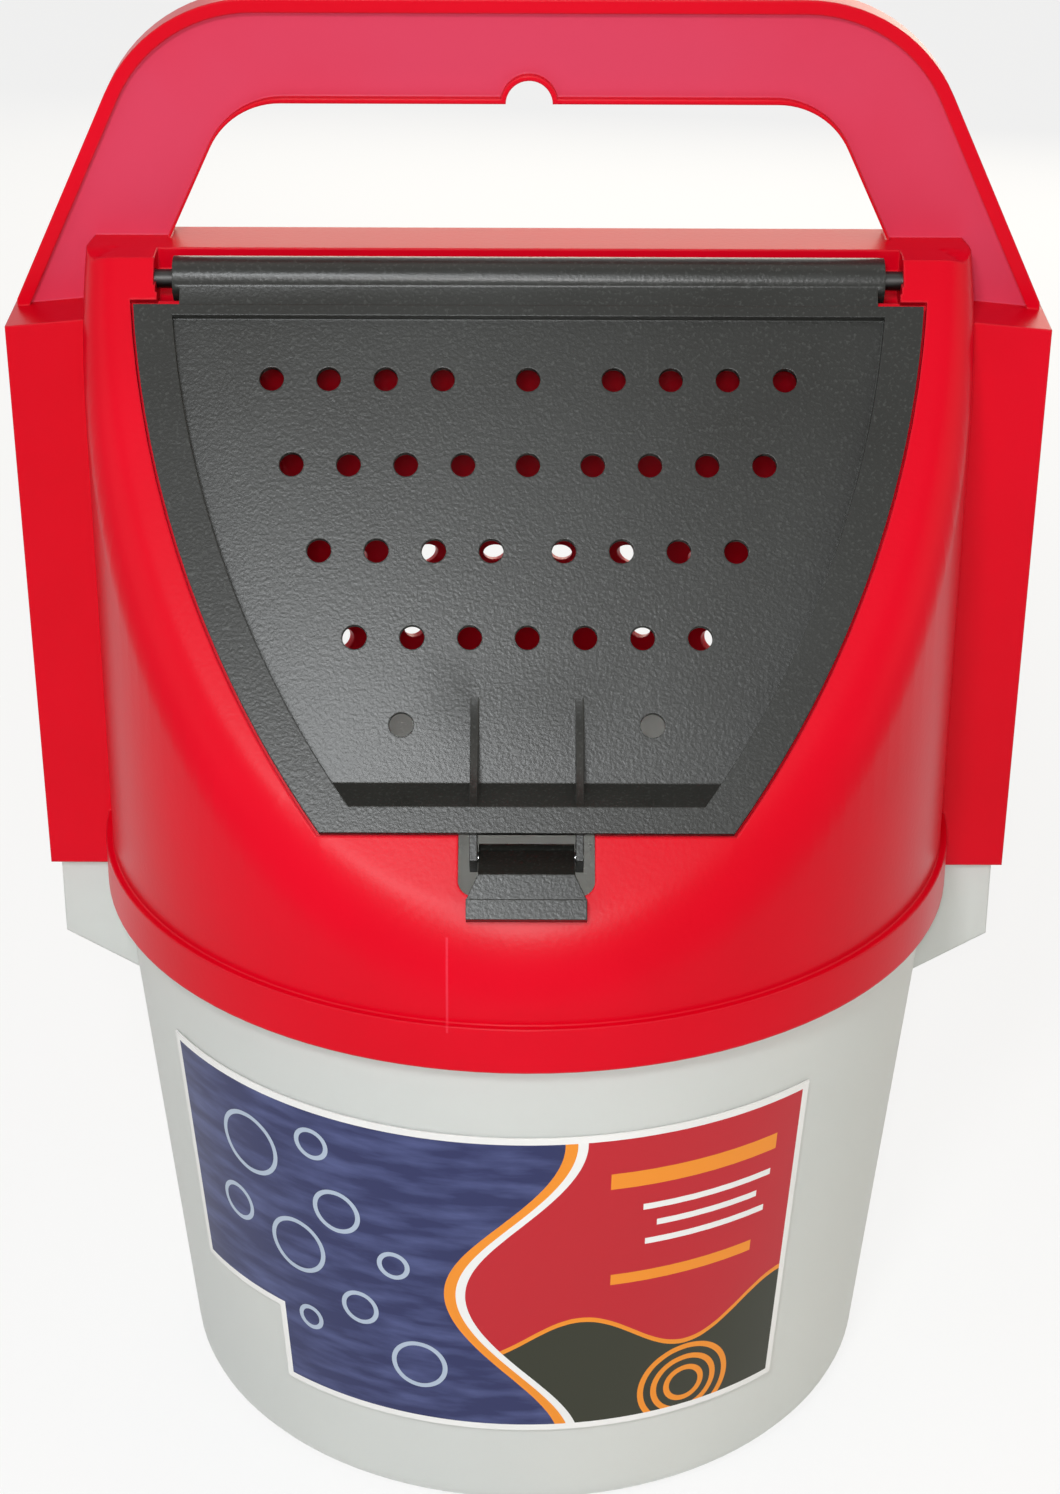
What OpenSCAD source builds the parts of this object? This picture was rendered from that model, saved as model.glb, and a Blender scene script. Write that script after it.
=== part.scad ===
// Aerated bait bucket: a pail under a slanted hood with a perforated, hinged door,
// a loop handle, foam floats in the side wings and a thumb latch.
// Millimetres, +Z up. The origin is the centre of the pail's base on the ground,
// the door faces -Y and the pail's axis is the Z axis.

/* [Pail] */
// outer radius of the pail at its rim
pail_rim_r = 117; // [115:0.1:118]
// outer radius of the pail at its base
pail_base_r = 101.5; // [96:0.5:106]
// height of the pail from the ground to its rim
pail_height = 168; // [164:1:172]
// wall and floor thickness of the pail
pail_wall = 2.4; // [1.8:0.1:3.2]
// radius of the rounded bottom edge
base_edge_r = 8; // [5:0.5:12]
// radius of the snap bead round the rim
bead_r = 0.8; // [0.5:0.1:0.9]
// distance of the snap bead below the rim
bead_drop = 5; // [4:0.5:6]
// height of each ear's outer wall
ear_height = 34; // [30:1:40]
// wall thickness of the ears
ear_wall = 2; // [1.6:0.1:2.6]
// rise of each ear's sloping floor, in mm per mm outwards
ear_slope = 0.595; // [0.4:0.05:0.7]

/* [Hood] */
// step from the pail's rim out to the hood's cylinder
hood_step = 1.5; // [1.2:0.1:2]
// wall thickness of the hood
hood_wall = 2.8; // [2.4:0.1:3.2]
// height of the hood's flat top above the ground
hood_top = 336; // [334:0.5:340]
// lean of the front face, as the angle of its normal above level
face_tilt = 38.5; // [36:0.5:40]
// lean of the back face, as the angle of its normal above level
back_tilt = 33; // [30:0.5:36]
// distance of the front face outside the hinge axis
face_rise = 4.5; // [4.5:0.1:5]
// step from the hood's cylinder out to the skirt that wraps the pail's rim
skirt_step = 2; // [1.8:0.1:2.5]
// drop of the skirt below the pail's rim
skirt_drop = 10; // [8:0.5:12]
// height of the skirt above the pail's rim
skirt_rise = 3; // [2:0.5:5]
// bore of the flow holes in the back wall
flow_bore = 7; // [5:0.5:9]
// height of the upper row of flow holes above the rim
flow_upper = 39; // [34:1:44]
// height of the lower row of flow holes above the rim
flow_lower = 12; // [10:1:16]

/* [Wings] */
// reach of each wing outside the hood's cylinder, at its shoulder
wing_reach = 21.5; // [21:0.1:24]
// taper of each wing towards its lower end
wing_taper = 1.7; // [1:0.1:2.2]
// depth of each wing from front to back
wing_depth = 44; // [40:1:50]
// wall thickness of the wings
wing_wall = 2; // [1.6:0.1:2.4]
// drop of the wings below the pail's rim
wing_drop = 14; // [13:1:20]
// drop of a wing's shoulder below the hood's top
shoulder_drop = 19.5; // [18:0.5:21]
// gap between each foam float and the skirt
foam_side_gap = 1.7; // [1.2:0.1:4]
// gap left above each foam float
foam_head_room = 4; // [2:1:10]

/* [Handle] */
// height of the handle's top above the ground
handle_top = 400; // [392:1:410]
// depth of the handle from front to back
handle_depth = 10; // [8:0.5:12]
// distance of the handle's back face behind the hinge axis
handle_back = 27; // [25:0.5:30]
// sideways lean of the handle's legs, in mm inwards per mm up
leg_lean = 0.478; // [0.4:0.02:0.55]
// radius of the handle's outer corners
handle_corner_r = 44; // [36:1:48]
// width of the handle's legs at the hood's top
leg_width = 43.5; // [42:0.5:50]
// thickness of the grip above the hand hole
grip_t = 27.5; // [24:0.5:32]
// radius of the hand hole's upper corners
hand_corner_r = 21; // [16:1:24]
// depth of the recess in each face of the handle
recess_depth = 2.3; // [1.5:0.1:3]
// width of the raised border round the handle
border_w = 3.7; // [3:0.1:5]
// width of the raised lip round the hand hole
lip_w = 1.4; // [1.2:0.1:2.5]
// radius of the rope notch at the middle of the grip
notch_r = 6.2; // [4:0.2:8]

/* [Hinge] */
// height of the hinge axis above the ground
hinge_z = 330; // [329:0.5:331]
// outer radius of the door's barrel
barrel_r = 6; // [5:0.1:6.2]
// half length of the door's barrel
barrel_half = 94; // [90:0.5:95]
// radius of each hinge pin
hinge_pin_r = 2.5; // [1.8:0.1:2.6]
// depth of each hinge pin in the barrel
pin_hold = 14; // [10:0.5:18]
// length of each hinge pin
pin_length = 30; // [26:0.5:30]
// wall round each hinge bore in the hood
boss_wall = 1.9; // [1.6:0.1:1.9]
// radial play of a pin in its bore
pin_play = 0.05; // [0.03:0.01:0.09]
// gap between the barrel and the hood at each end
barrel_end_gap = 4.5; // [3:0.5:6]
// gap between the barrel and its trough
trough_gap = 1; // [0.6:0.1:1.2]

/* [Door] */
// thickness of the door's flange
flange_t = 3; // [2.5:0.1:3.2]
// distance of the flange above the hood's front face
flange_proud = 0.5; // [0.2:0.1:1]
// distance of the flange's top edge below the hinge axis
flange_top = 9; // [8.8:0.1:9.6]
// distance of the flange's bottom edge below the hinge axis
flange_end = 150.3; // [148:0.1:152]
// radius of the curved sides of the flange
side_r = 285; // [284:0.5:286]
// sideways distance of each side curve's centre
side_centre_x = 180; // [179:0.5:181]
// distance of the side curves' centres above the hinge axis
side_centre_s = 14; // [12:0.5:16]
// width of the flange round the recess at its sides
flange_side_w = 10; // [8:0.5:12]
// width of the flange below the recess
flange_foot_w = 6.8; // [6:0.1:8]
// wall thickness of the recessed pan
pan_wall = 2.2; // [1.8:0.1:2.6]
// depth of the panel below the flange at its top end
panel_top_depth = 2.5; // [2:0.1:4]
// lean of the panel inwards from the flange
panel_lean = 3.5; // [2:0.25:4]
// bore of the holes in the panel
hole_bore = 6.4; // [4:0.1:7]
// distance between two holes of a row
hole_pitch = 15; // [13:0.5:16]
// distance between two rows of holes
row_pitch = 23; // [20:0.5:24]
// distance of the first row from the panel's top end
first_row = 20.3; // [17:0.1:22]
// sideways distance of each rib from the middle
rib_x = 13.6; // [13.4:0.1:14]
// thickness of each rib and of each latch lug
rib_t = 2; // [1.6:0.1:2]
// gap between the door and the hood's edges
door_gap = 0.8; // [0.5:0.1:1]
// gap above the flange, which swings past the hood there
swing_gap = 1.4; // [1.3:0.1:1.8]
// gap between the flange and the ledge behind it
seat_gap = 0.4; // [0.35:0.05:0.6]

/* [Latch] */
// distance of the latch pin below the hinge axis
latch_s = 154.5; // [154:0.1:155]
// depth of the latch pin behind the hinge axis plane
latch_depth = 7; // [6.5:0.1:7.5]
// radius of the latch pin
latch_pin_r = 1.5; // [1.2:0.1:1.6]
// radius of the lever's hub
hub_r = 3.6; // [3.2:0.1:3.8]
// half width of the latch opening in the hood
latch_open_half = 17.4; // [16.4:0.1:19]
// distance of the latch opening's foot below the hinge axis
latch_open_end = 166.5; // [166.2:0.1:168]
// half width of the finger lip
lip_half = 15.3; // [13:0.1:17]
// distance of the finger lip's tip below the hinge axis
lip_end = 173.2; // [171:0.1:176]
// thickness of the lever's lip
lever_lip_t = 2.6; // [2:0.1:3.5]

/* [Label] */
// azimuth of the label's left edge, from the front
label_left = -58; // [-70:1:-50]
// azimuth of the label's right edge, from the front
label_right = 42; // [36:1:60]
// height of the label's lower edge
label_low = 31; // [24:1:40]
// height of the label's upper edge
label_high = 134; // [120:1:140]
// azimuth where the lower left notch ends
label_notch_az = -40; // [-46:1:-34]
// height of the lower left notch
label_notch_h = 26; // [15:1:34]
// thickness of the label
label_t = 0.5; // [0.3:0.1:0.8]

/* [Clearances] */
// gap between the skirt and the pail's rim
skirt_play = 0.3; // [0.2:0.05:0.4]
// gap between pieces that are fitted together and do not move
fit_gap = 0.4; // [0.3:0.05:0.6]
// gap between the lever and what it passes
lever_gap = 0.5; // [0.35:0.05:0.6]

/* [Hidden] */
$fn = 96;
far = 400;
hood_r = pail_rim_r + hood_step;
skirt_r = hood_r + skirt_step;
wing_span = 2 * (hood_r + wing_reach);
wing_foot_span = wing_span - 2 * wing_taper;
hand_half = wing_span / 2 - leg_width;
skirt_low = pail_height - skirt_drop;
skirt_high = pail_height + skirt_rise;
seat_z = pail_height + 0.05;
skirt_bore_r = pail_rim_r + skirt_play;
wing_low = pail_height - wing_drop;
wing_shoulder = hood_top - shoulder_drop;
wing_lean = (wing_span - wing_foot_span) / 2 / (wing_shoulder - wing_low);
wing_back_rise = 2.1;
wing_inner_x = hood_r - 18;
ear_x = wing_foot_span / 2 - wing_wall - fit_gap - 0.3;
ear_y0 = wing_wall + fit_gap;
ear_y1 = wing_depth - wing_wall - fit_gap;
ear_top = pail_height - 4;
ear_low = ear_top - ear_height;
foam_x1 = ear_x - ear_wall - fit_gap;
foam_x0 = skirt_r + foam_side_gap;
foam_t = foam_x1 - foam_x0;
handle_front = handle_back - handle_depth;
trough_r = barrel_r + trough_gap;
trough_half = barrel_half + barrel_end_gap;
trough_wall = 2.2;
sill_front = trough_r + 1;
end_step = 0.5;
sill_half = trough_half + end_step;
pin_bore_r = hinge_pin_r + pin_play;
boss_r = pin_bore_r + boss_wall;
pin_start = barrel_half - pin_hold;
pin_end = pin_start + pin_length;
flange_out = face_rise + flange_proud;
flange_in = flange_out - flange_t;
ledge = flange_in - seat_gap;
ledge_t = 2.4;
recess_r = side_r - flange_side_w;
recess_top = flange_top + 3;
recess_end = flange_end - flange_foot_w;
pan_r = recess_r + pan_wall;
pan_top = recess_top - pan_wall;
pan_end = recess_end + pan_wall;
panel_s0 = flange_top - 1;
panel_e0 = flange_out - panel_top_depth;
floor_reach = (flange_out - panel_e(recess_end)) / (cos(face_tilt) + sin(face_tilt) * tan(panel_lean));
floor_s = recess_end - floor_reach * sin(face_tilt);
floor_e = flange_out - floor_reach * cos(face_tilt);
lug_x0 = rib_x - rib_t / 2;
lug_x1 = rib_x + rib_t / 2;
lever_half = lug_x0 - 0.3;
lever_face = face_rise + lever_gap;
lever_edge = latch_open_end - lever_gap;

// Height of the panel's outer surface over the hinge axis plane, at distance s down.
function panel_e(s) = panel_e0 - (s - panel_s0) * tan(panel_lean);

// The pail's outer radius at a height.
function pail_r(z) = pail_base_r + (pail_rim_r - pail_base_r) * z / pail_height;

// Where the plane of the front face, e outside the hinge axis, is at a height.
function face_y(z, e) = (z - hinge_z) * tan(face_tilt) - e / cos(face_tilt);

// Where the plane of the back face, moved inwards by d, is at a height.
function back_y(z, d) = handle_back + (hood_top - z) * tan(back_tilt) - d / cos(back_tilt);

// The wing's outer edge at a height.
function wing_x(z) = wing_foot_span / 2 + (z - wing_low) * wing_lean;

// Draws in (s, e): s down the front face from the hinge axis and e outwards from it,
// then carries the drawing through x from -half to half.
module face_prism(half) {
    translate([0, 0, hinge_z])
    rotate([90 - face_tilt, 0, 0])
    rotate([90, 0, -90])
    translate([0, 0, -half])
    linear_extrude(2 * half)
    children();
}

// Draws in (y, z) and carries the drawing through x from -half to half.
module side_prism(half) {
    rotate([90, 0, 90])
    translate([0, 0, -half])
    linear_extrude(2 * half)
    children();
}

// Draws in (x, z) and carries the drawing through y from y0 to y1.
module front_prism(y0, y1) {
    translate([0, y1, 0])
    rotate([90, 0, 0])
    linear_extrude(y1 - y0)
    children();
}

// A round bar along x between two x values, at distance s and height e.
module cross_bar(r, x0, x1, s, e) {
    translate([0, 0, hinge_z])
    rotate([90 - face_tilt, 0, 0])
    translate([x0, -s, e])
    rotate([0, 90, 0])
    cylinder(h = x1 - x0, r = r);
}

// Draws in (x, -s) and carries the drawing outwards from e0 to e1.
module face_plate(e0, e1) {
    translate([0, 0, hinge_z])
    rotate([90 - face_tilt, 0, 0])
    translate([0, 0, e0])
    linear_extrude(e1 - e0)
    children();
}

// The door's outline between two distances down the face, with curved sides.
module side_outline(r, top, end) {
    intersection() {
        translate([side_centre_x, side_centre_s])
        circle(r, $fn = 180);
        translate([-side_centre_x, side_centre_s])
        circle(r, $fn = 180);
        translate([-far / 2, -end])
        square([far, end - top]);
    }
}

// One half of a piece that repeats on both sides, copied to the other side.
module both_sides() {
    children();
    mirror([1, 0, 0])
    children();
}

// The pail's round shell with its rounded bottom edge and floor.
module pail_shell() {
    steps = 6;
    edge = [for (i = [0:steps]) let (a = 90 * i / steps)
        [pail_base_r - base_edge_r + base_edge_r * sin(a), base_edge_r - base_edge_r * cos(a)]];
    inner_edge = [for (i = [steps:-1:0]) let (a = 90 * i / steps, r = base_edge_r - pail_wall)
        [pail_base_r - base_edge_r + r * sin(a), base_edge_r - r * cos(a)]];
    rotate_extrude($fn = 180)
    polygon(concat([[0, 0]], edge, [[pail_rim_r, pail_height],
        [pail_rim_r - pail_wall, pail_height]], inner_edge, [[0, pail_wall]]));
}

// The space inside the pail's wall.
module pail_space() {
    translate([0, 0, -1])
    cylinder(h = pail_height + 2, r1 = pail_r(-1) - pail_wall / 2,
        r2 = pail_r(pail_height + 1) - pail_wall / 2, $fn = 180);
}

// The outline of an ear's hollow or its outside, from the front.
module ear_outline(x, low, top) {
    polygon([[wing_inner_x, low - (x - wing_inner_x) * ear_slope], [x, low], [x, top],
        [wing_inner_x, top]]);
}

module ear() {
    difference() {
        front_prism(ear_y0, ear_y1)
        ear_outline(ear_x, ear_low, ear_top);
        front_prism(ear_y0 + ear_wall, ear_y1 - ear_wall)
        ear_outline(ear_x - ear_wall, ear_low + ear_wall * 0.6, ear_top + 1);
        pail_space();
        translate([0, 0, wing_low - fit_gap])
        cylinder(h = far, r = skirt_r + fit_gap, $fn = 180);
    }
}

module pail() {
    color("WhiteSmoke")
    union() {
        pail_shell();
        both_sides()
        ear();
        translate([0, 0, pail_height - bead_drop])
        rotate_extrude($fn = 180)
        translate([pail_r(pail_height - bead_drop), 0])
        circle(bead_r, $fn = 24);
    }
}

// The hood's solid body, moved inwards by d on every side.
module hood_body(d, low) {
    intersection() {
        translate([0, 0, low])
        cylinder(h = hood_top - d - low, r = hood_r - d, $fn = 180);
        side_prism(far / 2)
        polygon([[face_y(low, face_rise - d), low],
            [face_y(hood_top - d, face_rise - d), hood_top - d],
            [back_y(hood_top - d, d), hood_top - d], [back_y(low, d), low]]);
    }
}

// A wing's outline from the front, moved inwards by d.
module wing_outline(d, low) {
    polygon([[wing_inner_x, low], [wing_x(low) - d, low],
        [wing_x(wing_shoulder) - d, wing_shoulder - d],
        [hood_r, wing_shoulder + wing_back_rise - d],
        [wing_inner_x, wing_shoulder + wing_back_rise - d]]);
}

module wing_space() {
    difference() {
        front_prism(wing_wall, wing_depth - wing_wall)
        wing_outline(wing_wall, wing_low - 1);
        translate([0, 0, wing_low - 2])
        cylinder(h = far, r = hood_r, $fn = 180);
        translate([0, 0, wing_low - 2])
        cylinder(h = skirt_high - wing_low + 2, r = skirt_r, $fn = 180);
    }
}

// Points of an arc round (x, z) between two angles.
function arc(x, z, r, a0, a1) = [for (i = [0:14]) let (a = a0 + (a1 - a0) * i / 14)
    [x + r * cos(a), z + r * sin(a)]];

// A loop's outline from the front: leaning legs and two round corners.
// foot_x is its half width at height foot_z.
module loop_outline(foot_x, foot_z, top, r) {
    lean = atan(leg_lean);
    corner_z = top - r;
    corner_x = foot_x - leg_lean * (corner_z - foot_z) - r / cos(lean);
    polygon(concat([[-foot_x, foot_z], [foot_x, foot_z]], arc(corner_x, corner_z, r, lean, 90),
        arc(-corner_x, corner_z, r, 90, 180 - lean)));
}

// The handle's outer outline, moved inwards by d.
module handle_outline(d) {
    low = wing_shoulder - 6;
    x = wing_span / 2 + leg_lean * 6 - d / cos(atan(leg_lean));
    intersection() {
        loop_outline(x, low, handle_top - d, handle_corner_r - d);
        translate([1 - wing_span / 2, low])
        square([wing_span - 2, far]);
    }
}

// The hand hole's outline, moved outwards by d.
module hand_outline(d) {
    loop_outline(hand_half + d, hood_top - d, handle_top - grip_t + d, hand_corner_r + d);
    translate([0, handle_top - grip_t])
    circle(notch_r + d);
}

module handle_recess(y0, y1) {
    front_prism(y0, y1)
    difference() {
        handle_outline(border_w);
        hand_outline(lip_w);
    }
}

module handle() {
    difference() {
        front_prism(handle_front, handle_back)
        handle_outline(0);
        front_prism(handle_front - 1, handle_back + 1)
        hand_outline(0);
        handle_recess(handle_front - 1, handle_front + recess_depth);
        handle_recess(handle_back - recess_depth, handle_back + 1);
    }
}

// A row of flow holes through the back wall, from a first to a last azimuth.
module flow_row(z, last, step) {
    for (a = [-last:step:last])
        translate([0, 0, z])
        rotate([0, 0, a])
        rotate([-90, 0, 0])
        translate([0, 0, hood_r / 2])
        cylinder(h = hood_r, r = flow_bore / 2, $fn = 32);
}

// The latch opening below the door, with rounded lower corners.
module latch_opening() {
    r = 4;
    face_plate(-20, 20)
    union() {
        translate([-latch_open_half, r - latch_open_end])
        square([2 * latch_open_half, latch_open_end - recess_end]);
        translate([r - latch_open_half, -latch_open_end])
        square([2 * (latch_open_half - r), 2 * r]);
        for (x = [-1, 1])
            translate([x * (latch_open_half - r), r - latch_open_end])
            circle(r, $fn = 32);
    }
}

// What is cut from the hood round the door and its barrel.
module door_cuts() {
    face_plate(-far / 4, far / 4)
    side_outline(pan_r + door_gap, pan_top - door_gap, pan_end + door_gap);
    face_plate(ledge, far / 4)
    side_outline(side_r + door_gap, flange_top - swing_gap, flange_end + door_gap);
    cross_bar(trough_r, -trough_half, trough_half, 0, 0);
    translate([-sill_half, -sill_front - 4, hinge_z])
    cube([2 * sill_half, 2 * sill_front + 4, 20]);
    face_prism(trough_half - end_step)
    translate([-2, ledge - 0.1])
    square([14, 20]);
    latch_opening();
}

// The walls behind the barrel, under the door's ledge and round the hinge bores.
module door_frame() {
    intersection() {
        hood_body(0, skirt_low);
        union() {
            difference() {
                cross_bar(trough_r + trough_wall, -trough_half - trough_wall,
                    trough_half + trough_wall, 0, 0);
                translate([-far / 2, sill_front + trough_wall, 0])
                cube([far, far, far]);
            }
            translate([-sill_half - trough_wall, sill_front, hinge_z - 1])
            cube([2 * (sill_half + trough_wall), trough_wall, 20]);
            face_plate(ledge - ledge_t, ledge)
            side_outline(side_r + 3, flange_top - 2, flange_end + 3);
            both_sides()
            cross_bar(boss_r, trough_half - 0.5, hood_r - 2, 0, 0);
        }
    }
}

module hood() {
    color("Crimson")
    difference() {
        union() {
            difference() {
                union() {
                    hood_body(0, skirt_low);
                    translate([0, 0, skirt_low])
                    cylinder(h = skirt_high - skirt_low, r = skirt_r, $fn = 180);
                    both_sides()
                    front_prism(0, wing_depth)
                    wing_outline(0, wing_low);
                    handle();
                }
                hood_body(hood_wall, seat_z);
                translate([0, 0, wing_low - 1])
                cylinder(h = seat_z - wing_low + 1, r = skirt_bore_r, $fn = 180);
                translate([0, 0, pail_height - bead_drop])
                rotate_extrude($fn = 180)
                translate([pail_r(pail_height - bead_drop), 0])
                circle(bead_r + fit_gap, $fn = 24);
                both_sides()
                wing_space();
            }
            door_frame();
        }
        door_cuts();
        both_sides()
        cross_bar(pin_bore_r, trough_half - 2, pin_end + 1, 0, 0);
        flow_row(pail_height + flow_upper, 27.5, 11);
        flow_row(pail_height + flow_lower, 30, 12);
    }
}

// The recessed pan's section along the face, moved outwards by d.
module pan_section(d) {
    side = d / cos(face_tilt);
    polygon([[recess_top - d, flange_out + 1], [recess_end + side, flange_out + 1],
        [recess_end + side, flange_out], [floor_s + side - d * tan(face_tilt), floor_e - d],
        [recess_top - d, panel_e(recess_top) - d]]);
}

module panel_holes() {
    rows = [[0, 22.5, 37.5, 52.5, 67.5], [0, 17, 32, 47, 62], [9.5, 24.5, 39.5, 54.5],
        [0, 15, 30, 45], [32.6]];
    translate([0, 0, hinge_z])
    rotate([90 - face_tilt, 0, 0])
    translate([0, -panel_s0, panel_e0])
    rotate([panel_lean, 0, 0])
    for (i = [0:4])
        for (x = rows[i])
            for (side = [-1, 1])
                translate([side * x * hole_pitch / 15, -first_row - i * row_pitch, -6])
                cylinder(h = 12, r = hole_bore / 2, $fn = 32);
}

module rib(x) {
    translate([x, 0, 0])
    face_prism(rib_t / 2)
    polygon([[floor_s - 24, panel_e(floor_s - 24) - 0.5], [recess_end + 0.5, flange_out],
        [recess_end + 0.5, flange_out - 2], [floor_s, floor_e - 0.5]]);
}

// A lug that carries one end of the latch pin.
module latch_lug(x) {
    translate([x, 0, 0])
    face_prism(rib_t / 2)
    polygon([[floor_s + 1, floor_e - 1.2], [latch_s - 10, -latch_depth - 3.4],
        [latch_s + 3, -latch_depth - 3.8], [latch_s + 4, -latch_depth + 1],
        [latch_s + 2.5, flange_in + 0.5], [recess_end, flange_in + 0.5]]);
}

module door() {
    color("DimGray")
    difference() {
        union() {
            difference() {
                union() {
                    face_plate(flange_in, flange_out)
                    side_outline(side_r, flange_top, flange_end);
                    intersection() {
                        face_prism(far / 2)
                        pan_section(pan_wall);
                        face_plate(-far / 4, flange_out - 0.5)
                        side_outline(pan_r, pan_top, pan_end);
                    }
                }
                intersection() {
                    face_prism(far / 2)
                    pan_section(0);
                    face_plate(-far / 4, far / 4)
                    side_outline(recess_r, recess_top, recess_end);
                }
            }
            rib(rib_x);
            rib(-rib_x);
            latch_lug(rib_x);
            latch_lug(-rib_x);
            cross_bar(barrel_r, -barrel_half, barrel_half, 0, 0);
            face_prism(barrel_half - 2)
            translate([3, flange_in])
            square([flange_top - 2.5, flange_t - 0.4]);
        }
        panel_holes();
        both_sides()
        cross_bar(hinge_pin_r, pin_start, barrel_half + 1, 0, 0);
        cross_bar(latch_pin_r, -lug_x1 - 1, lug_x1 + 1, latch_s, -latch_depth);
    }
}

module hinge_pin_left() {
    color("Silver")
    cross_bar(hinge_pin_r, -pin_end, -pin_start, 0, 0);
}

module hinge_pin_right() {
    color("Silver")
    cross_bar(hinge_pin_r, pin_start, pin_end, 0, 0);
}

module latch_pin() {
    color("Silver")
    cross_bar(latch_pin_r, -lug_x1, lug_x1, latch_s, -latch_depth);
}

module latch_lever() {
    flare_s = latch_s + hub_r + 3.3;
    color("DarkSlateGray")
    difference() {
        union() {
            cross_bar(hub_r, -lever_half, lever_half, latch_s, -latch_depth);
            face_prism(lever_half)
            polygon([[latch_s - 1.4, hub_r - 0.5 - latch_depth], [flare_s, lever_face + lever_lip_t],
                [latch_open_end + 2, lever_face + lever_lip_t], [latch_open_end + 2, lever_face],
                [lever_edge, lever_face], [lever_edge, ledge], [lever_edge - 2, -latch_depth + 2],
                [latch_s + 1.5, -latch_depth - hub_r + 0.5]]);
            face_plate(lever_face, lever_face + lever_lip_t)
            polygon([[-lever_half, -flare_s], [lever_half, -flare_s],
                [lip_half, -latch_open_end - 1.5], [lip_half, -lip_end],
                [-lip_half, -lip_end], [-lip_half, -latch_open_end - 1.5]]);
            face_prism(lip_half)
            translate([latch_open_end + 1.5, lever_face + 1])
            square([lip_end - latch_open_end - 1.5, lever_lip_t + 0.6]);
        }
        cross_bar(latch_pin_r + pin_play, -lever_half - 1, lever_half + 1, latch_s, -latch_depth);
    }
}

// One foam block in the right wing, its foot cut to the ear's sloping floor.
module foam_float() {
    foot = ear_low + ear_wall * 0.6 + 0.6 - (ear_x - ear_wall - foam_x1) * ear_slope + ear_wall * 0.6;
    front_prism(ear_y0 + ear_wall + fit_gap, ear_y1 - ear_wall - fit_gap)
    polygon([[foam_x0, foot - foam_t * ear_slope], [foam_x1, foot],
        [foam_x1, wing_shoulder - wing_wall - foam_head_room],
        [foam_x0, wing_shoulder - wing_wall - foam_head_room]]);
}

module foam_float_left() {
    color("Ivory")
    mirror([1, 0, 0])
    foam_float();
}

module foam_float_right() {
    color("Ivory")
    foam_float();
}

// A band of the pail's outside between two azimuths and two heights.
module label_band(az0, az1, z0, z1, t0, t1) {
    rotate([0, 0, az0 - 90])
    rotate_extrude(angle = az1 - az0, $fn = 180)
    polygon([[pail_r(z0) + t0, z0], [pail_r(z0) + t1, z0], [pail_r(z1) + t1, z1],
        [pail_r(z1) + t0, z1]]);
}

module label() {
    color("DarkOrange")
    difference() {
        label_band(label_left, label_right, label_low, label_high, 0.02, 0.02 + label_t);
        label_band(label_left - 2, label_notch_az, label_low - 2, label_low + label_notch_h, -1, 3);
    }
}

pail();
hood();
door();
hinge_pin_left();
hinge_pin_right();
latch_lever();
latch_pin();
foam_float_left();
foam_float_right();
label();
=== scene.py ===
import math

import bmesh
import bpy
import numpy as np
from mathutils import Matrix, Vector


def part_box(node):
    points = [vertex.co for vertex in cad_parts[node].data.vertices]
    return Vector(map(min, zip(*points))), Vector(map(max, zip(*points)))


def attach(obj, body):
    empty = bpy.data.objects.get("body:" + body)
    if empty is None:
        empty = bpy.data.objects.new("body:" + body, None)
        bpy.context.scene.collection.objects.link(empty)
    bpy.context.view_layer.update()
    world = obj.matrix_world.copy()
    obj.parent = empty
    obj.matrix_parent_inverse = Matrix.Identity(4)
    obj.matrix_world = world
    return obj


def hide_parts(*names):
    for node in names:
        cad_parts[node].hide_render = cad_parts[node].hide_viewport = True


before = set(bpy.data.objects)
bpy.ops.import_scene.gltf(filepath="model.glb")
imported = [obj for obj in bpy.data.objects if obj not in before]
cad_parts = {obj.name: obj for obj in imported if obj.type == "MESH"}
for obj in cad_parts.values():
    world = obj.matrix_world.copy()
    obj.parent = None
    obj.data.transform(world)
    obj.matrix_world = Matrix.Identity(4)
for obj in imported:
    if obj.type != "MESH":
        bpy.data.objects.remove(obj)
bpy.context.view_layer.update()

print("stage: frame loaded")


# node tree helpers
def calc(tree, operation, *values):
    # One Math node; each value is a number or the socket that it comes from.
    node = tree.nodes.new("ShaderNodeMath")
    node.operation = operation
    for socket, value in zip(node.inputs, values):
        if isinstance(value, (int, float)):
            socket.default_value = value
        else:
            tree.links.new(value, socket)
    return node.outputs[0]


def over(tree, mask, under, upper):
    # One Mix node: the under colour where the mask is 0, the upper colour where it is 1.
    node = tree.nodes.new("ShaderNodeMix")
    node.data_type = "RGBA"
    for socket, value in ((node.inputs[0], mask), (node.inputs[6], under), (node.inputs[7], upper)):
        if isinstance(value, (int, float, tuple)):
            socket.default_value = value
        else:
            tree.links.new(value, socket)
    return node.outputs[2]


def within(tree, value, centre, half):
    # One where the value lies within half of the centre, else zero.
    node = tree.nodes.new("ShaderNodeMath")
    node.operation = "COMPARE"
    tree.links.new(value, node.inputs[0])
    node.inputs[1].default_value = centre
    node.inputs[2].default_value = half
    return node.outputs[0]


# camera and studio
view = {
    "focalPx": 3100.0,        # focal length in pixels of the 1060 x 1494 frame
    "widthPx": 1060.0,
    "heightPx": 1494.0,
    "centreXPx": 526.8,       # where the lens axis meets the frame
    "centreYPx": 789.0,
    "pitch": 27.05,           # degrees below level
    "roll": 0.2,
    "distance": 0.8913,
    "aimHeight": 0.1783,
}


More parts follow.
